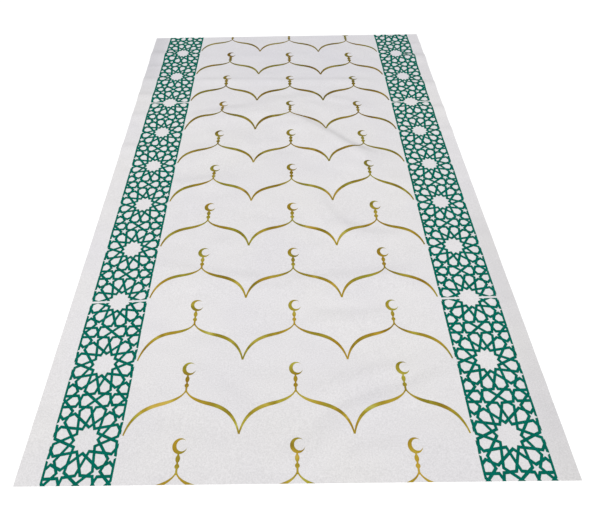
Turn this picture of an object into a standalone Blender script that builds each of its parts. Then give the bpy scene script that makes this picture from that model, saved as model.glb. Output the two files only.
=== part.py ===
"""Prayer rug: one thin sheet of printed nonwoven cloth, lying flat with a few soft creases.

Metres throughout. X runs across the rug, Y along it and Z up. The underside rests on Z = 0.
"""

import math
from collections import namedtuple

import bmesh
import bpy

# Outline. Both ends are cut by hand, a little off square.
WIDTH = 0.700
LENGTH = 1.0865
NEAR_CUT_RISE = 0.002  # how far the near end's left corner stands in from the right one
FAR_CUT_DROP = 0.0175  # how far the far end's left corner stands in from the right one

THICKNESS = 0.001

# The sheet is modelled on an even grid, close enough for its creases.
CELLS_ACROSS = 34
CELLS_ALONG = 54
MERGE_DISTANCE = 0.00001

# A crease is a soft ridge along a curve that runs from left to right. It reaches further on
# its near side than on its far side, and fades out over a share of its length at each end.
Crease = namedtuple("Crease", "curve height near_reach far_reach fade")
CREASES = (
    # The sharpest one, slanting down to the right of the middle
    Crease(((-0.050, 0.196), (0.060, 0.190), (0.108, 0.040), (0.235, 0.046)), 0.0055, 0.100, 0.028, 0.28),
    # The long shallow bow above it
    Crease(((-0.275, 0.170), (-0.100, 0.190), (0.060, 0.345), (0.225, 0.160)), 0.0034, 0.090, 0.032, 0.20),
    # Across the rug, near the far end
    Crease(((-0.250, 0.325), (-0.020, 0.324), (0.225, 0.323)), 0.0024, 0.030, 0.024, 0.14),
    # Across the rug, below the middle
    Crease(((-0.265, -0.205), (-0.100, -0.264), (0.060, -0.250), (0.265, -0.224)), 0.0019, 0.070, 0.028, 0.14),
    # The hook right of the middle
    Crease(((0.046, -0.038), (0.062, -0.150), (0.125, -0.167), (0.235, -0.153)), 0.0024, 0.050, 0.028, 0.22),
    # The wide sweep at the near end
    Crease(((-0.035, -0.536), (0.080, -0.440), (0.260, -0.402)), 0.0028, 0.046, 0.030, 0.20),
    # A shallow one beside the middle, on the left
    Crease(((-0.250, 0.038), (-0.170, 0.062), (-0.085, 0.088)), 0.0014, 0.046, 0.050, 0.24),
    # Short waves that lift the long edges
    Crease(((-0.380, 0.448), (-0.325, 0.449), (-0.262, 0.444)), 0.0018, 0.036, 0.030, 0.40),
    Crease(((-0.380, 0.191), (-0.325, 0.190), (-0.270, 0.186)), 0.0011, 0.030, 0.026, 0.40),
    Crease(((0.265, 0.426), (0.325, 0.431), (0.380, 0.431)), 0.0021, 0.036, 0.026, 0.40),
    Crease(((0.268, 0.310), (0.325, 0.312), (0.380, 0.312)), 0.0014, 0.030, 0.026, 0.40),
    Crease(((0.268, -0.160), (0.325, -0.154), (0.380, -0.152)), 0.0009, 0.034, 0.028, 0.40),
)
CURVE_STEPS = 24

CLOTH_COLOUR = (0.76, 0.75, 0.77, 1.0)
CLOTH_ROUGHNESS = 0.85


def clear_scene():
    for obj in list(bpy.data.objects):
        bpy.data.objects.remove(obj, do_unlink=True)


def curve_point(points, t):
    """The point at t, from 0 to 1, of the smooth curve that its end points and bends give."""
    while len(points) > 1:
        points = [
            ((1 - t) * a[0] + t * b[0], (1 - t) * a[1] + t * b[1])
            for a, b in zip(points, points[1:])
        ]
    return points[0]


def curve_points(crease):
    """Points along a crease, each with its place from 0 to 1 along it."""
    places = [step / CURVE_STEPS for step in range(CURVE_STEPS + 1)]
    return [(*curve_point(crease.curve, t), t) for t in places]


def nearest_on_curve(x, y, points):
    """The distance from (x, y) to the curve, whether it is on the far side, and the place along it."""
    best = (math.inf, False, 0.0)
    for (x0, y0, t0), (x1, y1, t1) in zip(points, points[1:]):
        dx, dy = x1 - x0, y1 - y0
        s = ((x - x0) * dx + (y - y0) * dy) / (dx * dx + dy * dy)
        s = min(max(s, 0.0), 1.0)
        distance = math.hypot(x - x0 - s * dx, y - y0 - s * dy)
        beyond = dx * (y - y0) - dy * (x - x0) > 0
        best = min(best, (distance, beyond, t0 + s * (t1 - t0)))
    return best


def hump(away):
    """1 at 0, falling softly to 0 at 1."""
    return math.cos(math.pi / 2 * min(away, 1.0)) ** 2


def crease_height(x, y, curves):
    """The height of the sheet's underside at (x, y): the highest crease there."""
    highest = 0.0
    for crease, points in curves:
        distance, beyond, place = nearest_on_curve(x, y, points)
        side = hump(distance / (crease.far_reach if beyond else crease.near_reach))
        end = 1 - hump(min(place, 1 - place) / crease.fade)
        highest = max(highest, crease.height * side * end)
    return highest


def rug_outline(u, v):
    """Where a point of the unit square lies on the rug."""
    near = -LENGTH / 2 + NEAR_CUT_RISE * (1 - u)
    far = LENGTH / 2 - FAR_CUT_DROP * (1 - u)
    return (u - 0.5) * WIDTH, near + (far - near) * v


def cloth_material():
    material = bpy.data.materials.new("printed_nonwoven")
    material.use_nodes = True
    shader = material.node_tree.nodes["Principled BSDF"]
    shader.inputs["Base Color"].default_value = CLOTH_COLOUR
    shader.inputs["Roughness"].default_value = CLOTH_ROUGHNESS
    return material


def rug_sheet():
    """The sheet's underside as a grid on its creases, thickened upwards."""
    mesh = bpy.data.meshes.new("rug_sheet")
    grid = bmesh.new()
    bmesh.ops.create_grid(
        grid, x_segments=CELLS_ACROSS, y_segments=CELLS_ALONG, size=0.5
    )
    curves = [(crease, curve_points(crease)) for crease in CREASES]
    for vert in grid.verts:
        x, y = rug_outline(vert.co.x + 0.5, vert.co.y + 0.5)
        vert.co = (x, y, crease_height(x, y, curves))
    grid.to_mesh(mesh)
    grid.free()

    sheet = bpy.data.objects.new("rug_sheet", mesh)
    sheet.data.materials.append(cloth_material())
    thicken = sheet.modifiers.new("thickness", "SOLIDIFY")
    thicken.thickness = THICKNESS
    thicken.offset = 1.0
    weld = sheet.modifiers.new("weld", "WELD")
    weld.merge_threshold = MERGE_DISTANCE
    return sheet


clear_scene()
collection = bpy.data.collections.new("prayer_rug")
bpy.context.scene.collection.children.link(collection)
collection.objects.link(rug_sheet())
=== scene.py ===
"""Prayer rug of thin white nonwoven cloth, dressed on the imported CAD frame.

The cloth is one closed sheet with soft creases. Its print is thin pieces of
ink that follow the cloth: two green star borders, laid out by the old rule of
lines that cross at the middles of polygon sides, and rows of gold arches, each
with a crescent on top. Metres throughout; +Y is the way the arches point.
"""

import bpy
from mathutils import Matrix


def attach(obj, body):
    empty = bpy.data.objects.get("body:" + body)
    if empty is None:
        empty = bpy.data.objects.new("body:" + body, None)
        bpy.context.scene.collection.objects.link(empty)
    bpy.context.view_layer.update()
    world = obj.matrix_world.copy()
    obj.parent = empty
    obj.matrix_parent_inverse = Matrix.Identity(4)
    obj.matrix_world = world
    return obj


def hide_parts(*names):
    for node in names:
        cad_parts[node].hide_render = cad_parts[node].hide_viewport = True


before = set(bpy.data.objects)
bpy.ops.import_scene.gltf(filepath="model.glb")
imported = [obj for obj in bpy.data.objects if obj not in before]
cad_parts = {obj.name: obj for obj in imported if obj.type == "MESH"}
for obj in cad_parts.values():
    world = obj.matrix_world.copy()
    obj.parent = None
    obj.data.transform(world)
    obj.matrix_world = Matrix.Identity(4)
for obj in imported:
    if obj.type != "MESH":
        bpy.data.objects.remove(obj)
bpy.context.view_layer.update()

import math
from collections import namedtuple

import bpy
import numpy as np
from mathutils import Matrix, Vector
from mathutils.geometry import delaunay_2d_cdt

# ------------------------------------------------------------------ the sheet

WIDTH, LENGTH = 0.700, 1.0865
NEAR_CUT_RISE, FAR_CUT_DROP = 0.002, 0.0175  # the left corners stand in
CLOTH_THICKNESS = 0.0007
CELLS_ACROSS, CELLS_ALONG = 156, 242

# A crease is a soft crest along a curve that runs from left to right. It reaches
# further on its near side than on its far side, and fades out over a share of its
# length at each end. The last thirteen are short waves at the long edges.
Crease = namedtuple("Crease", "curve height near_reach far_reach fade")
CREASES = (
    Crease(
        ((-0.050, 0.196), (0.060, 0.190), (0.108, 0.040), (0.235, 0.046)),
        0.0055, 0.100, 0.024, 0.28,
    ),
    Crease(
        ((-0.275, 0.170), (-0.100, 0.190), (0.060, 0.345), (0.225, 0.160)),
        0.0034, 0.090, 0.030, 0.20,
    ),
    Crease(((-0.250, 0.325), (-0.020, 0.324), (0.225, 0.323)), 0.0024, 0.028, 0.015, 0.14),
    Crease(
        ((-0.265, -0.205), (-0.100, -0.264), (0.060, -0.250), (0.265, -0.224)),
        0.0019, 0.070, 0.024, 0.14,
    ),
    Crease(
        ((0.046, -0.038), (0.062, -0.150), (0.125, -0.167), (0.235, -0.153)),
        0.0024, 0.050, 0.024, 0.22,
    ),
    Crease(((-0.035, -0.536), (0.080, -0.440), (0.260, -0.402)), 0.0028, 0.046, 0.026, 0.20),
    Crease(((0.005, -0.436), (0.090, -0.413), (0.195, -0.384)), 0.0015, 0.030, 0.020, 0.26),
    Crease(((0.005, -0.312), (0.080, -0.311), (0.155, -0.312)), 0.0012, 0.030, 0.018, 0.26),
    Crease(((-0.250, 0.038), (-0.170, 0.062), (-0.085, 0.088)), 0.0014, 0.046, 0.050, 0.24),
    Crease(((-0.250, -0.021), (-0.190, -0.021), (-0.125, -0.010)), 0.0010, 0.030, 0.018, 0.26),
    Crease(((-0.172, 0.098), (-0.120, 0.105), (-0.068, 0.105)), 0.0010, 0.030, 0.018, 0.30),
    Crease(((0.138, 0.003), (0.185, -0.012), (0.240, -0.024)), 0.0010, 0.034, 0.020, 0.30),
    Crease(((0.045, -0.508), (0.097, -0.501), (0.150, -0.503)), 0.0009, 0.025, 0.016, 0.30),
    Crease(((-0.195, -0.372), (-0.120, -0.415), (-0.045, -0.468)), 0.0008, 0.036, 0.026, 0.30),
    Crease(((-0.240, -0.338), (-0.165, -0.355), (-0.080, -0.364)), 0.0009, 0.040, 0.020, 0.30),
    Crease(((-0.200, 0.425), (-0.100, 0.436), (0.000, 0.432)), 0.0008, 0.030, 0.020, 0.30),
    Crease(((0.060, 0.402), (0.130, 0.410), (0.210, 0.404)), 0.0008, 0.030, 0.020, 0.30),
    Crease(((-0.380, 0.442), (-0.325, 0.442), (-0.262, 0.438)), 0.0044, 0.040, 0.028, 0.40),
    Crease(((-0.380, 0.389), (-0.325, 0.388), (-0.280, 0.386)), 0.0012, 0.014, 0.010, 0.40),
    Crease(((-0.380, 0.329), (-0.325, 0.328), (-0.270, 0.324)), 0.0026, 0.028, 0.020, 0.40),
    Crease(((-0.380, 0.268), (-0.325, 0.267), (-0.275, 0.264)), 0.0024, 0.026, 0.016, 0.40),
    Crease(((-0.380, 0.192), (-0.325, 0.191), (-0.270, 0.187)), 0.0024, 0.034, 0.018, 0.40),
    Crease(((-0.380, 0.087), (-0.325, 0.086), (-0.275, 0.083)), 0.0022, 0.030, 0.018, 0.40),
    Crease(((0.275, 0.490), (0.325, 0.492), (0.380, 0.492)), 0.0016, 0.024, 0.014, 0.40),
    Crease(((0.265, 0.422), (0.325, 0.427), (0.380, 0.427)), 0.0050, 0.040, 0.024, 0.40),
    Crease(((0.268, 0.309), (0.325, 0.311), (0.380, 0.311)), 0.0032, 0.030, 0.018, 0.40),
    Crease(((0.270, 0.209), (0.325, 0.213), (0.380, 0.214)), 0.0028, 0.034, 0.020, 0.40),
    Crease(((0.275, 0.133), (0.325, 0.135), (0.380, 0.136)), 0.0016, 0.026, 0.018, 0.40),
    Crease(((0.268, -0.160), (0.325, -0.154), (0.380, -0.152)), 0.0009, 0.034, 0.022, 0.40),
    Crease(((0.272, -0.294), (0.325, -0.289), (0.380, -0.287)), 0.0008, 0.034, 0.022, 0.40),
)
PATH_STEPS = 28

# Low swells and dents of the cloth. The first seven were placed one by one. The rest
# weren't: a scratch program fitted them to the photograph's light and shade.
Swell = namedtuple("Swell", "middle half_sizes turn height")  # the turn is in degrees
SWELLS = (
    Swell((0.285, -0.330), (0.090, 0.340), 0, 0.0012),
    Swell((-0.200, -0.300), (0.170, 0.200), 20, 0.0007),
    Swell((0.030, -0.380), (0.150, 0.110), -25, 0.0006),
    Swell((0.020, 0.020), (0.200, 0.130), 10, 0.0008),
    Swell((-0.160, 0.150), (0.140, 0.150), 0, 0.0009),
    Swell((0.130, 0.300), (0.190, 0.140), 15, 0.0009),
    Swell((-0.220, 0.400), (0.130, 0.150), -10, 0.0010),
    Swell((0.074, -0.447), (0.056, 0.019), 26, 0.0014),
    Swell((0.081, -0.329), (0.120, 0.034), 9, 0.0012),
    Swell((0.046, -0.215), (0.110, 0.045), 13, -0.0014),
    Swell((-0.098, 0.019), (0.055, 0.028), -8, -0.0014),
    Swell((0.085, -0.482), (0.067, 0.020), 42, -0.0013),
    Swell((0.102, -0.021), (0.120, 0.035), -6, 0.0014),
    Swell((0.212, -0.388), (0.052, 0.039), -22, 0.0013),
    Swell((0.175, -0.467), (0.087, 0.024), 13, 0.0007),
    Swell((0.173, -0.169), (0.062, 0.045), -7, -0.0014),
    Swell((0.102, -0.065), (0.120, 0.045), -54, -0.0014),
    Swell((0.156, 0.004), (0.120, 0.034), -20, 0.0014),
    Swell((-0.161, -0.353), (0.120, 0.030), -3, -0.0010),
    Swell((0.115, 0.086), (0.120, 0.019), -45, 0.0014),
    Swell((-0.064, -0.275), (0.093, 0.027), -21, -0.0007),
    Swell((-0.115, 0.228), (0.120, 0.019), 13, -0.0014),
    Swell((-0.159, 0.148), (0.120, 0.032), 11, -0.0014),
    Swell((-0.176, -0.025), (0.096, 0.037), 9, 0.0014),
    Swell((-0.055, 0.069), (0.119, 0.029), 7, -0.0014),
    Swell((0.019, -0.490), (0.060, 0.025), 56, -0.0014),
    Swell((0.149, 0.083), (0.059, 0.018), -37, -0.0014),
    Swell((0.090, 0.237), (0.120, 0.025), -12, -0.0014),
    Swell((0.026, 0.229), (0.083, 0.030), -42, -0.0014),
    Swell((-0.095, 0.337), (0.120, 0.029), 7, 0.0014),
    Swell((-0.156, 0.028), (0.120, 0.033), 28, -0.0014),
    Swell((-0.062, 0.141), (0.120, 0.045), -22, -0.0014),
    Swell((-0.024, 0.191), (0.120, 0.027), -5, 0.0014),
    Swell((0.085, 0.239), (0.120, 0.045), -13, -0.0014),
    Swell((0.096, -0.402), (0.072, 0.017), 6, 0.0006),
    Swell((-0.125, -0.176), (0.076, 0.030), 43, 0.0014),
)

# The fine cockle of the cloth, as waves that cross. The heading is in degrees.
Wave = namedtuple("Wave", "length heading start height")
COCKLE = (
    Wave(0.047, 82, 0.3, 0.00016),
    Wave(0.036, 101, 1.9, 0.00011),
    Wave(0.061, 63, 4.0, 0.00018),
    Wave(0.054, 121, 2.7, 0.00016),
    Wave(0.043, 34, 5.1, 0.00010),
    Wave(0.072, 92, 0.9, 0.00020),
    Wave(0.031, 75, 3.3, 0.00007),
    Wave(0.066, 152, 1.2, 0.00014),
)

CREST_DIP, CREST_BEAT = 0.28, 0.041  # how much a crest dips, and how often
CREST_START = 0.37  # how far, in beats, each crest's dips are shifted from the last one's
FLOOR_EASE = 0.0004  # the height over which a dent levels out onto the floor
SHARP_ANGLE = 50  # degrees, so that only the cut edges are sharp


def around(radius, degrees):
    """The point of a circle at an angle from +X."""
    a = math.radians(degrees)
    return (radius * math.cos(a), radius * math.sin(a))


def near_cut(x):
    """Where the near end of the cloth lies along the rug."""
    return -LENGTH / 2 + NEAR_CUT_RISE * (0.5 - x / WIDTH)


def far_cut(x):
    """Where the far end of the cloth lies along the rug."""
    return LENGTH / 2 - FAR_CUT_DROP * (0.5 - x / WIDTH)


def bezier(points, steps):
    """Points along the smooth curve that its two ends and its bends give."""
    t = np.linspace(0, 1, steps + 1)[:, None]
    level = [np.array(p, float) + 0 * t for p in points]
    while len(level) > 1:
        level = [(1 - t) * a + t * b for a, b in zip(level, level[1:])]
    return level[0]


def nearest_on(path, points):
    """The distance to a path, more than 0 on its left, and the share of it passed there."""
    best = np.full(len(points), np.inf)
    side, along = np.zeros(len(points)), np.zeros(len(points))
    for i, (a, b) in enumerate(zip(path, path[1:])):
        run = b - a
        t = np.clip((points - a) @ run / (run @ run), 0, 1)
        off = points - a - t[:, None] * run
        distance = np.hypot(off[:, 0], off[:, 1])
        closer = distance < best
        best[closer] = distance[closer]
        side[closer] = np.sign(run[0] * off[:, 1] - run[1] * off[:, 0])[closer]
        along[closer] = ((i + t) / (len(path) - 1))[closer]
    return best * side, along


def hump(away):
    """1 in the middle, 0 from a distance of 1 on."""
    return np.cos(np.clip(away, 0, 1) * math.pi / 2) ** 2


def mound(points, middle, half_sizes, turn=0.0):
    """1 in the middle of an ellipse, falling softly to 0 at its rim."""
    c, s = math.cos(math.radians(turn)), math.sin(math.radians(turn))
    u, v = ((points - middle) @ np.array(((c, -s), (s, c)))).T
    return hump(np.hypot(u / half_sizes[0], v / half_sizes[1]))


def crest(points, crease, number):
    """How high one crease lifts the cloth at each point."""
    path = bezier(crease.curve, PATH_STEPS)
    off, along = nearest_on(path, points)
    spread = np.abs(off) / np.where(off > 0, crease.far_reach, crease.near_reach)
    ends = np.minimum(along, 1 - along) / crease.fade
    length = np.hypot(*np.diff(path, axis=0).T).sum()
    beat = (along * length / CREST_BEAT + number * CREST_START) % 2
    uneven = 1 - CREST_DIP * hump(np.abs(beat - 1))
    return crease.height * uneven * hump(spread) * (1 - hump(ends))


def lift(points):
    """How far the cloth stands off the floor at each point."""
    raised = np.zeros(len(points))
    for number, crease in enumerate(CREASES):
        raised = np.maximum(raised, crest(points, crease, number))
    for swell in SWELLS:
        raised += swell.height * mound(points, swell.middle, swell.half_sizes, swell.turn)
    for wave in COCKLE:
        run = np.array(around(2 * math.pi / wave.length, wave.heading))
        raised += wave.height * (1 + np.sin(points @ run + wave.start)) / 2
    return (raised + np.hypot(raised, FLOOR_EASE)) / 2  # eased down onto the floor


def sheet_grid():
    """Where the rows and columns of the cloth's grid lie on the floor."""
    u, v = np.meshgrid(
        np.linspace(0, 1, CELLS_ACROSS + 1), np.linspace(0, 1, CELLS_ALONG + 1)
    )
    x = (u - 0.5) * WIDTH
    y = near_cut(x) + (far_cut(x) - near_cut(x)) * v
    return x, y


GRID_X, GRID_Y = sheet_grid()
GRID_LIFT = lift(np.stack((GRID_X.ravel(), GRID_Y.ravel()), -1)).reshape(GRID_X.shape)
GRID_LIFT -= GRID_LIFT.min()  # the lowest point lies on the floor
LAST_CELL = 1e-6  # keeps a point on the grid's far side in its last cell


def cloth_top(points):
    """Height of the cloth's face at each point, read off the cloth's own grid."""
    x, y = points[:, 0], points[:, 1]
    u = np.clip((x / WIDTH + 0.5) * CELLS_ACROSS, 0, CELLS_ACROSS - LAST_CELL)
    v = (y - near_cut(x)) / (far_cut(x) - near_cut(x)) * CELLS_ALONG
    v = np.clip(v, 0, CELLS_ALONG - LAST_CELL)
    i, j = u.astype(int), v.astype(int)
    du, dv = u - i, v - j
    low = GRID_LIFT[j, i] * (1 - du) + GRID_LIFT[j, i + 1] * du
    high = GRID_LIFT[j + 1, i] * (1 - du) + GRID_LIFT[j + 1, i + 1] * du
    return CLOTH_THICKNESS + low * (1 - dv) + high * dv


def new_piece(name, vertices, faces, material, smooth):
    mesh = bpy.data.meshes.new(name)
    mesh.from_pydata([tuple(map(float, v)) for v in vertices], [], faces)
    mesh.validate()
    mesh.materials.append(material)
    mesh.polygons.foreach_set("use_smooth", [smooth] * len(mesh.polygons))
    piece = bpy.data.objects.new(name, mesh)
    bpy.context.scene.collection.objects.link(piece)
    return piece


def closed_sheet(upper, lower, faces):
    """Vertices and faces of a thin closed piece between two layers of the same faces."""
    count = len(upper)
    sides = {}
    for face in faces:
        for a, b in zip(face, face[1:] + face[:1]):
            sides[(a, b)] = True
    rim = [(a, b) for a, b in sides if (b, a) not in sides]
    under = [tuple(i + count for i in reversed(face)) for face in faces]
    walls = [(b, a, a + count, b + count) for a, b in rim]
    return np.concatenate((upper, lower)), [*faces, *under, *walls]


def make_cloth(material):
    """The sheet, closed all round, on its grid."""
    row = CELLS_ACROSS + 1
    flat = np.stack((GRID_X.ravel(), GRID_Y.ravel(), GRID_LIFT.ravel()), -1)
    upper = flat + (0, 0, CLOTH_THICKNESS)
    faces = [
        (j * row + i, j * row + i + 1, (j + 1) * row + i + 1, (j + 1) * row + i)
        for j in range(CELLS_ALONG)
        for i in range(CELLS_ACROSS)
    ]
    vertices, faces = closed_sheet(upper, flat, faces)
    piece = new_piece("rug_cloth", vertices, faces, material, True)
    piece.data.set_sharp_from_angle(angle=math.radians(SHARP_ANGLE))
    return piece


# ------------------------------------------------------------------ the print

INK_RISE, INK_ROOT = 0.00010, 0.00012  # above and below the cloth's face
INK_STEP = 0.0045  # longest side of an ink outline, so that it follows creases
MERGE = 0.00002  # the print's margin at the cut ends; a quarter of it joins corners
LEAST_AREA, LEAST_SIDE = 1e-9, 1e-7  # anything smaller in the print is dropped
CDT_INSIDE = 1  # makes delaunay_2d_cdt keep only the triangles inside a polygon
MILLIMETRES = 1000  # in a metre

# How far the print sits off its even layout, in millimetres across and along: a
# share that changes slowly over the sheet, as (x power, y power): (across, along),
# and places where the cloth was pulled. Scratch programs fitted the share, the first
# five places and all the shifts to offsets measured in the photograph.
DRIFT = {
    (0, 0): (0.63, -3.69),
    (0, 1): (5.11, -5.78),
    (0, 2): (1.90, 8.17),
    (0, 3): (-0.92, -8.16),
    (1, 0): (3.18, -6.91),
    (1, 1): (-5.14, -3.63),
    (1, 2): (-33.84, -28.12),
    (2, 0): (5.79, 7.90),
    (2, 1): (-10.58, 53.89),
    (3, 0): (-29.20, 125.40),
}
Pull = namedtuple("Pull", "middle half_sizes across along")
PULLS = (
    Pull((0.135, -0.010), (0.095, 0.135), 2.2, 9.2),
    Pull((-0.075, 0.190), (0.200, 0.065), -1.2, 6.3),
    Pull((0.170, 0.385), (0.120, 0.090), 0.6, -3.8),
    Pull((-0.195, 0.075), (0.105, 0.100), -0.4, -3.0),
    Pull((-0.195, -0.300), (0.055, 0.140), -1.2, 4.5),
    Pull((-0.045, -0.030), (0.050, 0.050), -0.8, -2.9),
    Pull((0.200, 0.500), (0.090, 0.060), 1.7, -6.7),
    Pull((-0.155, 0.430), (0.090, 0.060), 2.2, -2.6),
    Pull((-0.200, 0.180), (0.050, 0.050), 0.2, 3.5),
)


def drifted(polygon):
    """A polygon of the even layout, moved to where the print sits."""
    p = np.array(polygon, float)
    x, y = p.T
    moved = p.copy()
    for (i, j), shift in DRIFT.items():
        moved += (x**i * y**j)[:, None] * np.array(shift) / MILLIMETRES
    for pull in PULLS:
        shift = np.array((pull.across, pull.along)) / MILLIMETRES
        moved += mound(p, pull.middle, pull.half_sizes)[:, None] * shift
    return [tuple(q) for q in moved]


def clip(polygon, a, b, c):
    """The part of a convex polygon where a x + b y <= c."""
    kept = []
    for p, q in zip(polygon, polygon[1:] + polygon[:1]):
        dp, dq = a * p[0] + b * p[1] - c, a * q[0] + b * q[1] - c
        if dp <= 0:
            kept.append(p)
        if dp * dq < 0:
            t = dp / (dp - dq)
            kept.append((p[0] + t * (q[0] - p[0]), p[1] + t * (q[1] - p[1])))
    return kept


def clip_all(polygon, lines):
    """The part of a convex polygon on the kept side of every line."""
    for line in lines:
        polygon = clip(polygon, *line)
        if len(polygon) < 3:
            return []
    return polygon


def clip_to_sheet(polygon):
    """Cuts a polygon at the near and far cuts of the cloth."""
    lines = []
    for cut, sign in ((near_cut, -1), (far_cut, 1)):
        slope = (cut(1.0) - cut(-1.0)) / 2  # over the two metres between them
        lines.append((-sign * slope, sign, sign * cut(0.0) - MERGE))
    return clip_all(polygon, lines)


def area_of(polygon):
    """A polygon's area, less than 0 where it runs clockwise."""
    return 0.5 * sum(
        p[0] * q[1] - q[0] * p[1] for p, q in zip(polygon, polygon[1:] + polygon[:1])
    )


def stroke(points, widths, cap=0.0):
    """Four-sided pieces along a line, with mitred bends and both ends carried on by the cap."""
    p = [np.array(q, float) for q in points]
    w = [widths] * len(p) if isinstance(widths, float) else widths
    runs = [(b - a) / np.linalg.norm(b - a) for a, b in zip(p, p[1:])]
    p[0], p[-1] = p[0] - cap * runs[0], p[-1] + cap * runs[-1]
    across = [np.array((-r[1], r[0])) for r in runs]
    mitres = [across[0]]
    for a, b in zip(across, across[1:]):
        mitres.append((a + b) / (1 + a @ b))
    mitres.append(across[-1])
    left = [q + m * h / 2 for q, m, h in zip(p, mitres, w)]
    right = [q - m * h / 2 for q, m, h in zip(p, mitres, w)]
    return [
        [tuple(right[i]), tuple(right[i + 1]), tuple(left[i + 1]), tuple(left[i])]
        for i in range(len(p) - 1)
    ]


def covers(polygon, x, y):
    """Whether a convex polygon, counter-clockwise, has a point in it."""
    return all(
        (q[0] - p[0]) * (y - p[1]) >= (q[1] - p[1]) * (x - p[0])
        for p, q in zip(polygon, polygon[1:] + polygon[:1])
    )


def union(polygons):
    """Triangles that cover the polygons once, with every outline side short."""
    vertices, faces, whole = [], [], []
    for polygon in polygons:
        if len(polygon) < 3 or abs(area_of(polygon)) < LEAST_AREA:
            continue
        if area_of(polygon) < 0:
            polygon = polygon[::-1]
        face = []
        for p, q in zip(polygon, polygon[1:] + polygon[:1]):
            length = math.dist(p, q)
            if length < LEAST_SIDE:
                continue
            parts = max(1, math.ceil(length / INK_STEP))
            for i in range(parts):
                t = i / parts
                face.append(len(vertices))
                vertices.append(
                    Vector((p[0] + t * (q[0] - p[0]), p[1] + t * (q[1] - p[1])))
                )
        faces.append(face)
        whole.append(polygon)
    joined = delaunay_2d_cdt(vertices, [], faces, CDT_INSIDE, MERGE / 4)
    points, _, triangles, _, _, owners = joined
    kept = []
    for triangle, owner in zip(triangles, owners):
        x, y = sum((points[i] for i in triangle), Vector((0, 0))) / 3
        if any(covers(whole[i], x, y) for i in owner):
            kept.append(tuple(triangle))
    used = sorted({i for t in kept for i in t})
    place = {old: new for new, old in enumerate(used)}
    flat = np.array([tuple(points[i]) for i in used])
    return flat, [tuple(place[i] for i in t) for t in kept]


def make_ink(name, polygons, material):
    """One closed piece of ink that lies on the cloth's folds."""
    flat, faces = union(polygons)
    top = cloth_top(flat)[:, None]
    upper = np.hstack((flat, top + INK_RISE))
    lower = np.hstack((flat, top - INK_ROOT))
    vertices, faces = closed_sheet(upper, lower, faces)
    return new_piece(name, vertices, faces, material, False)


# Star border. A rosette has twelve rays, and the lines cross half way along the
# sides of polygons.

REPEAT = 0.1044  # metres
FIRST_ROSETTE = -0.4898  # metres along the rug
ROSETTES = 10
RAYS = 12

# These places are in half repeats, from the middle of a rosette. A scratch program
# fitted them to the print in the photograph.
RAY_INNER, RAY_CROSSING = 0.313, 0.653
RAY_SHOULDER, RAY_OUTER = 0.817, 0.861
SHOULDER_TURN = 4.4  # degrees off the ray
SIDE = 0.883  # where the print roller's edge cuts the pattern off
STAR_FOOT = (0.374, 0.845)  # the small star between four rosettes
STAR_TOP = (0.417, 1.000)
STAR_HIP = (0.493, 0.858)
STAR_TIP = (0.651, 0.857)
STAR_HEEL = (0.5415, 0.742)
EDGE_BEND = (0.857, 0.948)
EDGE_CROSSING = (0.802, 1.000)
LINE_CAP = 0.008  # how far a line runs past its end, into the line it meets

# The middle and half width are in metres. The widths of the lines are in half
# repeats, at the first rosette and at one past the last.
Strip = namedtuple("Strip", "middle half_width line_widths")
STRIPS = {
    "left": Strip(-0.2758, 0.04460, (0.0724, 0.1020)),
    "right": Strip(0.2773, 0.04570, (0.0758, 0.0990)),
}
SEAMS = (2, 7)  # rosettes that a gap in the print runs through
SEAM_GAP = 0.0034  # metres
PAST_ENDS = 1.0  # metres from the middle, past both ends of the sheet


def flip(p):
    """Mirrored over the diagonal of a repeat."""
    return (p[1], p[0])


def beyond(p):
    """Mirrored over the line half way to the next rosette."""
    return (p[0], 2 - p[1])


def rosette_lines():
    """The lines of one rosette, each from rim to rim through two crossings."""
    ray = 360 / RAYS
    for k in range(RAYS):
        a = ray * k
        yield [
            around(RAY_OUTER, a - 1.5 * ray),
            around(RAY_SHOULDER, a - ray - SHOULDER_TURN),
            around(RAY_CROSSING, a - ray),
            around(RAY_INNER, a),
            around(RAY_CROSSING, a + ray),
            around(RAY_SHOULDER, a + ray + SHOULDER_TURN),
            around(RAY_OUTER, a + 1.5 * ray),
        ]


def link_lines():
    """The lines between rosettes, for the quarter with x and y above 0."""
    ray = 360 / RAYS
    high, middle, low = (around(RAY_OUTER, share * ray) for share in (2.5, 1.5, 0.5))
    side_tip = (1.0, STAR_TIP[1])
    yield [high, (0.0, 1.0)]
    yield [low, (1.0, 0.0)]
    yield [high, STAR_FOOT, STAR_TOP, beyond(STAR_HIP), beyond(side_tip)]
    yield [middle, STAR_HEEL, STAR_TIP, EDGE_CROSSING, beyond(EDGE_BEND), beyond(flip(STAR_TIP))]
    yield [STAR_HIP, side_tip]
    yield [middle, flip(STAR_HEEL), flip(STAR_TIP), (1.0, EDGE_CROSSING[0])]
    yield [low, flip(STAR_FOOT), flip(STAR_TOP)]
    yield [flip(STAR_TOP), flip(STAR_HIP), flip(STAR_TIP), EDGE_BEND]


def repeat_lines():
    """The lines of one rosette and of the links all round it."""
    yield from rosette_lines()
    for line in link_lines():
        for side_x in (1, -1):
            for side_y in (1, -1):
                yield [(side_x * x, side_y * y) for x, y in line]


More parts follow.
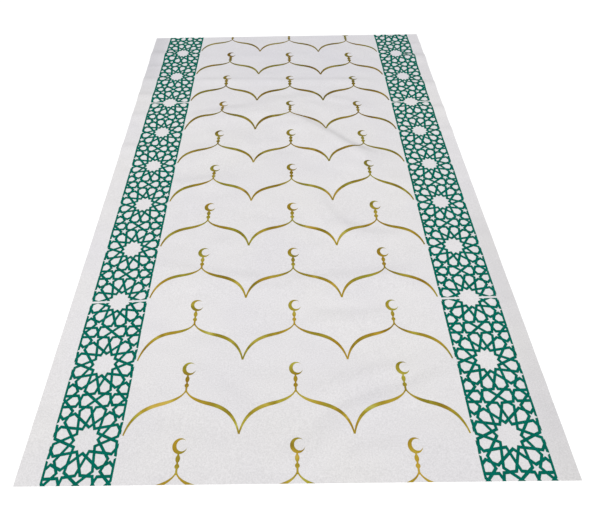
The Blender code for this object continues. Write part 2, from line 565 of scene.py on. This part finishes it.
def border(strip):
    """Polygons of one strip, in metres."""
    scale_x, scale_y = strip.half_width / SIDE, REPEAT / 2
    lines = list(repeat_lines())
    gap = SEAM_GAP / 2
    seams = [FIRST_ROSETTE + k * REPEAT for k in SEAMS]
    spans = list(zip([-PAST_ENDS, *seams], [*seams, PAST_ENDS]))
    polygons = []
    for k in range(-1, ROSETTES + 1):
        y = FIRST_ROSETTE + k * REPEAT
        width = float(np.interp(k, (0, ROSETTES), strip.line_widths))
        for quad in [q for line in lines for q in stroke(line, width, LINE_CAP)]:
            quad = clip_all(quad, ((1, 0, SIDE), (-1, 0, SIDE)))
            quad = [(strip.middle + scale_x * p[0], y + scale_y * p[1]) for p in quad]
            for low, high in spans:
                part = clip_all(quad, ((0, -1, -low - gap), (0, 1, high - gap)))
                if part:
                    polygons.append(clip_to_sheet(drifted(part)))
    return polygons


# Arches. Lengths are in arch widths, from the middle of the line through the
# arch's two feet; the strokes swell on the shoulders.

ARCH_WIDTH, ARCH_HEIGHT = 0.1521, 0.1528  # metres a unit, across and along
ARCH_SHIFT = -0.0004  # metres across
ARCH_COLUMNS = (-1, 0, 1)
ARCH_ROWS = (  # the feet of each row, along the rug, in metres
    -0.5878, -0.4829, -0.3790, -0.2744, -0.1687, -0.0626, 0.0433, 0.1474, 0.2520,
    0.3586, 0.4642,
)
# how heavily a row is printed, by its number; the rows between are in between
ROW_WEIGHT = {0: 0.94, 2: 0.94, 4: 1.12, 7: 1.19, 8: 1.32, 9: 1.34, 10: 1.15}

FORK = (0.0, 0.372)
SHOULDER = (0.2055, 0.2462)
FOOT = (0.499, -0.020)
# A scratch program fitted these two curves, but for the fork, to measured offsets.
ARCH_CURVES = (
    (FORK, (0.013, 0.321), (0.082, 0.2745), SHOULDER),
    (SHOULDER, (0.317, 0.2198), (0.456, 0.173), FOOT),
)
ARCH_STEPS = (14, 18)
# the stroke's width, by the distance from the arch's middle
STROKE_WIDTH = {
    0.0: 0.0125,
    0.03: 0.0147,
    0.10: 0.0262,
    0.20: 0.0345,
    0.30: 0.0360,
    0.36: 0.0342,
    0.42: 0.0302,
    0.465: 0.0225,
    0.50: 0.0140,
}

STEM_FOOT, STEM_TOP, STEM_WIDTH = 0.345, 0.400, 0.0190
BEAD_AT, BEAD, BEAD_SIDES = 0.411, 0.0215, 20
NECK_WIDTH = 0.017
NECK_LAP = 0.004  # how far the neck runs into the crescent
LENS_AT, LENS_HALF, LENS_WAIST, LENS_STEPS = 0.470, 0.038, 0.0205, 10
MOON_AT, MOON = (0.0055, 0.571), 0.0652
MOON_BITE, MOON_OFFSET = 0.0476, 0.0204  # the circle that is bitten out
MOON_TURN = 17.0  # degrees: the crescent opens to the upper right
MOON_STEPS = 26


def disc(middle, radius, sides):
    return [
        (middle[0] + x, middle[1] + y)
        for x, y in (around(radius, 360 * i / sides) for i in range(sides))
    ]


def crescent(middle, radius, bite, offset, turn, steps):
    """Four-sided pieces between the outer arc and the arc of the bite."""
    half = math.degrees(
        math.acos((radius**2 + offset**2 - bite**2) / (2 * radius * offset))
    )
    reach = radius * math.sin(math.radians(half))
    inner_half = math.degrees(
        math.atan2(reach, radius * math.cos(math.radians(half)) - offset)
    )
    dx, dy = around(offset, turn)
    outer, inner = [], []
    for i in range(steps + 1):
        t = i / steps
        x, y = around(radius, turn + half + t * (360 - 2 * half))
        outer.append((middle[0] + x, middle[1] + y))
        x, y = around(bite, turn + inner_half + t * (360 - 2 * inner_half))
        inner.append((middle[0] + dx + x, middle[1] + dy + y))
    return [
        [outer[i], outer[i + 1], inner[i + 1], inner[i]]
        for i in range(steps)
    ]


def finial(weight):
    """The stem, bead, lens, neck and crescent on top of an arch."""
    waist = 2 * LENS_WAIST * weight
    low, high = (0, LENS_AT - LENS_HALF), (0, LENS_AT + LENS_HALF)
    lens = bezier((low, (waist, LENS_AT), high), LENS_STEPS)
    neck_top = MOON_AT[1] - MOON + NECK_LAP
    back = MOON + MOON_OFFSET - MOON_BITE  # the crescent's width at its back
    gain = (weight - 1) * back / 4  # four of these widen the back by the weight
    arcs = MOON + gain, MOON_BITE - gain, MOON_OFFSET + 2 * gain
    return [
        *stroke([(0, STEM_FOOT), (0, STEM_TOP)], STEM_WIDTH * weight),
        disc((0, BEAD_AT), BEAD * weight, BEAD_SIDES),
        [tuple(p) for p in lens] + [(-p[0], p[1]) for p in lens[-2:0:-1]],
        *stroke([(0, BEAD_AT), (0, neck_top)], NECK_WIDTH * weight),
        *crescent(MOON_AT, *arcs, MOON_TURN, MOON_STEPS),
    ]


def half_arch():
    """The middle line of the right half of an arch, and its widths."""
    upper, lower = map(bezier, ARCH_CURVES, ARCH_STEPS)
    line = np.concatenate((upper, lower[1:]))
    widths = np.interp(line[:, 0], list(STROKE_WIDTH), list(STROKE_WIDTH.values()))
    return line, list(widths)


def one_arch(line, widths, weight):
    """Polygons of both halves of an arch and its crescent, in arch widths."""
    pieces = finial(weight)
    for side in (-1, 1):
        pieces += stroke([(side * p[0], p[1]) for p in line], widths)
    return pieces


def arches():
    """Polygons of all arches and crescents, in metres."""
    line, even_widths = half_arch()
    polygons = []
    for row, y in enumerate(ARCH_ROWS):
        weight = float(np.interp(row, list(ROW_WEIGHT), list(ROW_WEIGHT.values())))
        arch = one_arch(line, [width * weight for width in even_widths], weight)
        for column in ARCH_COLUMNS:
            for piece in arch:
                moved = [
                    (ARCH_SHIFT + ARCH_WIDTH * (column + p[0]), y + ARCH_HEIGHT * p[1])
                    for p in piece
                ]
                polygons.append(clip_to_sheet(drifted(moved)))
    return polygons


# -------------------------------------------------------------- the materials

MIX_A, MIX_B, MIX_RESULT = 6, 7, 2  # the colour sockets of a Mix node


def new_material(name):
    material = bpy.data.materials.new(name)
    material.use_nodes = True
    tree = material.node_tree
    tree.nodes.clear()
    shader = tree.nodes.new("ShaderNodeBsdfPrincipled")
    output = tree.nodes.new("ShaderNodeOutputMaterial")
    tree.links.new(shader.outputs["BSDF"], output.inputs["Surface"])
    return material, tree, shader


def place(tree, scale=(1, 1, 1), turn=0.0):
    """Object coordinates, scaled and turned about Z."""
    where = tree.nodes.new("ShaderNodeTexCoord")
    mapping = tree.nodes.new("ShaderNodeMapping")
    mapping.inputs["Scale"].default_value = scale
    mapping.inputs["Rotation"].default_value = (0, 0, math.radians(turn))
    tree.links.new(where.outputs["Object"], mapping.inputs["Vector"])
    return mapping.outputs["Vector"]


def noise(tree, vector, scale, detail=2.0, roughness=0.5, distortion=0.0):
    node = tree.nodes.new("ShaderNodeTexNoise")
    node.inputs["Scale"].default_value = scale
    node.inputs["Detail"].default_value = detail
    node.inputs["Roughness"].default_value = roughness
    node.inputs["Distortion"].default_value = distortion
    tree.links.new(vector, node.inputs["Vector"])
    return node.outputs["Fac"]


def ramp(tree, value, stops):
    """The colour at a value, between stops of a position and a colour each."""
    node = tree.nodes.new("ShaderNodeValToRGB")
    elements = node.color_ramp.elements
    while len(elements) < len(stops):
        elements.new(0.5)
    for element, (position, colour) in zip(elements, stops):
        element.position = position
        element.color = (*colour, 1)
    tree.links.new(value, node.inputs["Fac"])
    return node.outputs["Color"]


def grey(value):
    return (value, value, value)


def mix(tree, kind, factor, a, b):
    """Two colours mixed; each value is a socket, a colour or a number."""
    node = tree.nodes.new("ShaderNodeMix")
    node.data_type = "RGBA"
    node.blend_type = kind
    for name, value in (("Factor", factor), (MIX_A, a), (MIX_B, b)):
        socket = node.inputs[name]
        if hasattr(value, "is_linked"):
            tree.links.new(value, socket)
        elif isinstance(value, tuple):
            socket.default_value = (*value, 1)
        else:
            socket.default_value = value
    return node.outputs[MIX_RESULT]


def multiply(tree, a, b, factor=1.0):
    return mix(tree, "MULTIPLY", factor, a, b)


def bump(tree, shader, height, distance, strength):
    """Roughens a material's surface by a height."""
    node = tree.nodes.new("ShaderNodeBump")
    node.inputs["Distance"].default_value = distance
    node.inputs["Strength"].default_value = strength
    tree.links.new(height, node.inputs["Height"])
    tree.links.new(node.outputs["Normal"], shader.inputs["Normal"])


FIBRE_STRETCH = (1, 7, 1)
Fibres = namedtuple("Fibres", "turn scale")  # the turn is in degrees
FIBRES = (Fibres(12, 420), Fibres(73, 460), Fibres(131, 400))


def fibres(tree):
    """Short crossing fibres: fine noise drawn out along several directions."""
    layers = [
        noise(tree, place(tree, FIBRE_STRETCH, layer.turn), layer.scale, 2.0, 0.6, 0.3)
        for layer in FIBRES
    ]
    both = mix(tree, "LIGHTEN", 1.0, layers[0], layers[1])
    return mix(tree, "LIGHTEN", 1.0, both, layers[2])


def fade_between(tree, value, start, end):
    """0 up to the start and 1 from the end on, softly."""
    node = tree.nodes.new("ShaderNodeMapRange")
    node.interpolation_type = "SMOOTHSTEP"
    node.inputs["From Min"].default_value = start
    node.inputs["From Max"].default_value = end
    tree.links.new(value, node.inputs["Value"])
    return node.outputs["Result"]


# Painted shade: where the cloth is painted a little darker, as the light falls off
# at its margins and its two ends: on which side, where this fades in across the rug
# and along it, and the colour it comes to. The margins come first, and then the two
# ends; the third row only warms the colour a little.
PaintedShade = namedtuple("PaintedShade", "side across along colour")
CLOTH_PAINTED_SHADE = (
    PaintedShade(1, (0.300, 0.335), (0.060, -0.220), (0.900, 0.900, 0.900)),
    PaintedShade(-1, (0.290, 0.340), (0.150, 0.460), (0.870, 0.870, 0.870)),
    PaintedShade(1, (0.300, 0.335), (0.200, 0.420), (1.000, 0.996, 0.975)),
    PaintedShade(1, (-0.380, -0.360), (-0.300, -0.520), (0.955, 0.955, 0.952)),
    PaintedShade(1, (-0.380, -0.360), (0.200, 0.420), (0.952, 0.955, 0.982)),
)


def painted_shade_mask(tree, painted_shade):
    """1 where a patch of painted shade is at its full, falling softly to 0."""
    axes = tree.nodes.new("ShaderNodeSeparateXYZ")
    tree.links.new(place(tree, (painted_shade.side, 1, 1)), axes.inputs["Vector"])
    both = tree.nodes.new("ShaderNodeMath")
    both.operation = "MULTIPLY"
    for socket, axis, ends in ((0, "X", painted_shade.across), (1, "Y", painted_shade.along)):
        tree.links.new(fade_between(tree, axes.outputs[axis], *ends), both.inputs[socket])
    return both.outputs["Value"]


# The stops of each ramp, as positions and colours.
CLOTH_TINTS = ((0.30, (0.693, 0.679, 0.699)), (0.70, (0.715, 0.701, 0.703)))
CLOTH_CLOUDS = ((0.30, grey(0.985)), (0.70, grey(1.0)))
CLOTH_THREADS = ((0.45, grey(0.93)), (0.75, grey(1.0)))
CLOTH_GRAINS = ((0.30, grey(0.85)), (0.70, grey(1.0)))
WEB_ROUGHNESS = ((0.40, grey(0.94)), (0.80, grey(0.84)))
CLOTH_BUMP, INK_BUMP = (0.00012, 0.5), (0.00010, 0.35)  # distance and strength


def cloth_material():
    material, tree, shader = new_material("nonwoven_cloth")
    web = fibres(tree)
    clouds = noise(tree, place(tree), scale=45, detail=3.0, roughness=0.6)
    broad = noise(tree, place(tree), scale=7, detail=2.0, roughness=0.5)
    tint = ramp(tree, broad, CLOTH_TINTS)
    shade = ramp(tree, clouds, CLOTH_CLOUDS)
    threads = ramp(tree, web, CLOTH_THREADS)
    grain = noise(tree, place(tree), scale=560, detail=1.6, roughness=0.60)
    grains = ramp(tree, grain, CLOTH_GRAINS)
    colour = multiply(tree, tint, shade)
    colour = multiply(tree, colour, threads)
    colour = multiply(tree, colour, grains)
    # painted shade: the margins and both ends of the cloth are darkened in its colour
    for painted_shade in CLOTH_PAINTED_SHADE:
        where = painted_shade_mask(tree, painted_shade)
        colour = multiply(tree, colour, painted_shade.colour, where)
    tree.links.new(colour, shader.inputs["Base Color"])
    tree.links.new(ramp(tree, web, WEB_ROUGHNESS), shader.inputs["Roughness"])
    shader.inputs["Specular IOR Level"].default_value = 0.25
    shader.inputs["Sheen Weight"].default_value = 0.06
    shader.inputs["Sheen Roughness"].default_value = 0.5
    bump(tree, shader, web, *CLOTH_BUMP)
    return material


GREEN_TINTS = ((0.30, (0.0, 0.096, 0.068)), (0.72, (0.0, 0.127, 0.092)))
GREEN_THREADS = ((0.40, grey(0.90)), (0.75, grey(1.0)))


def green_material():
    material, tree, shader = new_material("green_ink")
    web = fibres(tree)
    patches = noise(tree, place(tree), scale=60, detail=3.0, roughness=0.6)
    tint = ramp(tree, patches, GREEN_TINTS)
    threads = ramp(tree, web, GREEN_THREADS)
    tree.links.new(multiply(tree, tint, threads), shader.inputs["Base Color"])
    tree.links.new(ramp(tree, web, WEB_ROUGHNESS), shader.inputs["Roughness"])
    shader.inputs["Specular IOR Level"].default_value = 0.03
    bump(tree, shader, web, *INK_BUMP)
    return material


GOLD_TINTS = (
    (0.32, (0.230, 0.166, 0.010)),
    (0.46, (0.305, 0.234, 0.018)),
    (0.58, (0.375, 0.300, 0.030)),
    (0.72, (0.490, 0.405, 0.080)),
)
GOLD_THREADS = ((0.40, grey(0.88)), (0.75, grey(1.0)))
GOLD_ROUGHNESS = ((0.30, grey(0.66)), (0.75, grey(0.50)))
# Painted sheen and shade: the gold is paler at the near end and browner at the far end.
GOLD_PAINTED_LIGHT_ALONG = (-0.52, 0.30)
GOLD_PAINTED_LIGHT_TONES = ((0.0, (1.0, 1.0, 1.0)), (0.5, (0.83, 0.82, 0.72)), (1.0, (0.55, 0.54, 0.48)))
# It also turns a little redder in some places and greener in others.
GOLD_HUES = (
    (0.38, (1.05, 0.87, 0.70)),
    (0.50, (1.0, 0.96, 0.95)),
    (0.62, (0.94, 1.05, 1.20)),
)
GOLD_PATCH_STRETCH, GOLD_PATCH_TURN = (1, 1.6, 1), 35
GOLD_HUE_STRETCH, GOLD_HUE_TURN = (1, 1.3, 1), -25


def gold_material():
    material, tree, shader = new_material("gold_ink")
    web = fibres(tree)
    where = place(tree, GOLD_PATCH_STRETCH, GOLD_PATCH_TURN)
    patches = noise(tree, where, scale=26, detail=2.0, roughness=0.55, distortion=0.6)
    tint = ramp(tree, patches, GOLD_TINTS)
    threads = ramp(tree, web, GOLD_THREADS)
    # painted sheen at the near end of the gold, painted shade at its far end
    axes = tree.nodes.new("ShaderNodeSeparateXYZ")
    tree.links.new(place(tree), axes.inputs["Vector"])
    along = fade_between(tree, axes.outputs["Y"], *GOLD_PAINTED_LIGHT_ALONG)
    tint = multiply(tree, tint, ramp(tree, along, GOLD_PAINTED_LIGHT_TONES))
    where = place(tree, GOLD_HUE_STRETCH, GOLD_HUE_TURN)
    blend = noise(tree, where, scale=17, detail=2.0, roughness=0.6, distortion=0.4)
    tint = multiply(tree, tint, ramp(tree, blend, GOLD_HUES))
    tree.links.new(multiply(tree, tint, threads), shader.inputs["Base Color"])
    tree.links.new(ramp(tree, patches, GOLD_ROUGHNESS), shader.inputs["Roughness"])
    shader.inputs["Metallic"].default_value = 0.10
    shader.inputs["Specular IOR Level"].default_value = 0.10
    bump(tree, shader, web, *INK_BUMP)
    return material


def floor_material():
    material, _, shader = new_material("pale_floor")
    shader.inputs["Base Color"].default_value = (0.93, 0.93, 0.93, 1)
    shader.inputs["Roughness"].default_value = 0.9
    shader.inputs["Specular IOR Level"].default_value = 0.1
    return material


# ------------------------------------------------------------------ the stage

# A scratch program fitted the camera to the print's even repeats.
CAMERA_AT = Vector((-0.01766, -0.63178, 0.60184))
CAMERA_PITCH, CAMERA_YAW, CAMERA_ROLL = 53.543, 1.055, 0.367  # degrees
IMAGE_WIDTH, IMAGE_HEIGHT = 600, 514
FOCAL_PIXELS = 436.56
OPTICAL_AXIS = (287.73, 251.88)  # pixels from the photograph's top left corner
SENSOR = 36.0  # millimetres
WORLD_LIGHT = 0.72
KEY_AT, KEY_AIM = Vector((-2.4, -6.9, 6.6)), Vector((0, 0, 0))
KEY_SIZE, KEY_POWER = 2.7, 735.0  # metres, watts
FLOOR_RADIUS, FLOOR_SIDES = 9.0, 48


def make_camera():
    """A camera that frames the rug as the photograph does."""
    pitch, yaw, roll = map(math.radians, (CAMERA_PITCH, CAMERA_YAW, CAMERA_ROLL))
    forward = Vector(
        (
            math.sin(yaw) * math.cos(pitch),
            math.cos(yaw) * math.cos(pitch),
            -math.sin(pitch),
        )
    )
    level = Vector((math.cos(yaw), -math.sin(yaw), 0))
    upright = level.cross(forward)
    right = level * math.cos(roll) + upright * math.sin(roll)
    up = -level * math.sin(roll) + upright * math.cos(roll)
    data = bpy.data.cameras.new("photo_camera")
    data.sensor_fit = "HORIZONTAL"
    data.sensor_width = SENSOR
    data.lens = SENSOR * FOCAL_PIXELS / IMAGE_WIDTH
    data.shift_x = (IMAGE_WIDTH / 2 - OPTICAL_AXIS[0]) / IMAGE_WIDTH
    data.shift_y = (OPTICAL_AXIS[1] - IMAGE_HEIGHT / 2) / IMAGE_WIDTH
    data.clip_start, data.clip_end = 0.01, 100
    camera = bpy.data.objects.new("photo_camera", data)
    turn = Matrix((right, up, -forward)).transposed()
    camera.matrix_world = Matrix.Translation(CAMERA_AT) @ turn.to_4x4()
    bpy.context.scene.collection.objects.link(camera)
    bpy.context.scene.camera = camera


def make_light():
    """An even white surround and one soft light from the near left."""
    world = bpy.data.worlds.new("studio")
    bpy.context.scene.world = world
    world.use_nodes = True
    background = world.node_tree.nodes["Background"]
    background.inputs["Color"].default_value = (1.0, 1.0, 1.0, 1)
    background.inputs["Strength"].default_value = WORLD_LIGHT
    data = bpy.data.lights.new("key", "AREA")
    data.shape, data.size, data.energy = "DISK", KEY_SIZE, KEY_POWER
    key = bpy.data.objects.new("key", data)
    turn = (KEY_AIM - KEY_AT).to_track_quat("-Z", "Y").to_matrix()
    key.matrix_world = Matrix.Translation(KEY_AT) @ turn.to_4x4()
    bpy.context.scene.collection.objects.link(key)


def make_floor():
    rim = [around(FLOOR_RADIUS, 360 * i / FLOOR_SIDES) for i in range(FLOOR_SIDES)]
    corners = [(x, y, 0.0) for x, y in rim]
    face = tuple(range(FLOOR_SIDES))
    new_piece("floor", corners, [face], floor_material(), False)


# ------------------------------------------------------------------- assembly

make_floor()
make_camera()
make_light()

cloth = make_cloth(cloth_material())
green, gold = green_material(), gold_material()
inks = [
    make_ink(f"border_ink_{side}", border(strip), green)
    for side, strip in STRIPS.items()
]
inks.append(make_ink("arch_ink", arches(), gold))

for piece in (cloth, *inks):
    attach(piece, "root")
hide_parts("rug_sheet")

bpy.context.scene.view_settings.view_transform = "Standard"
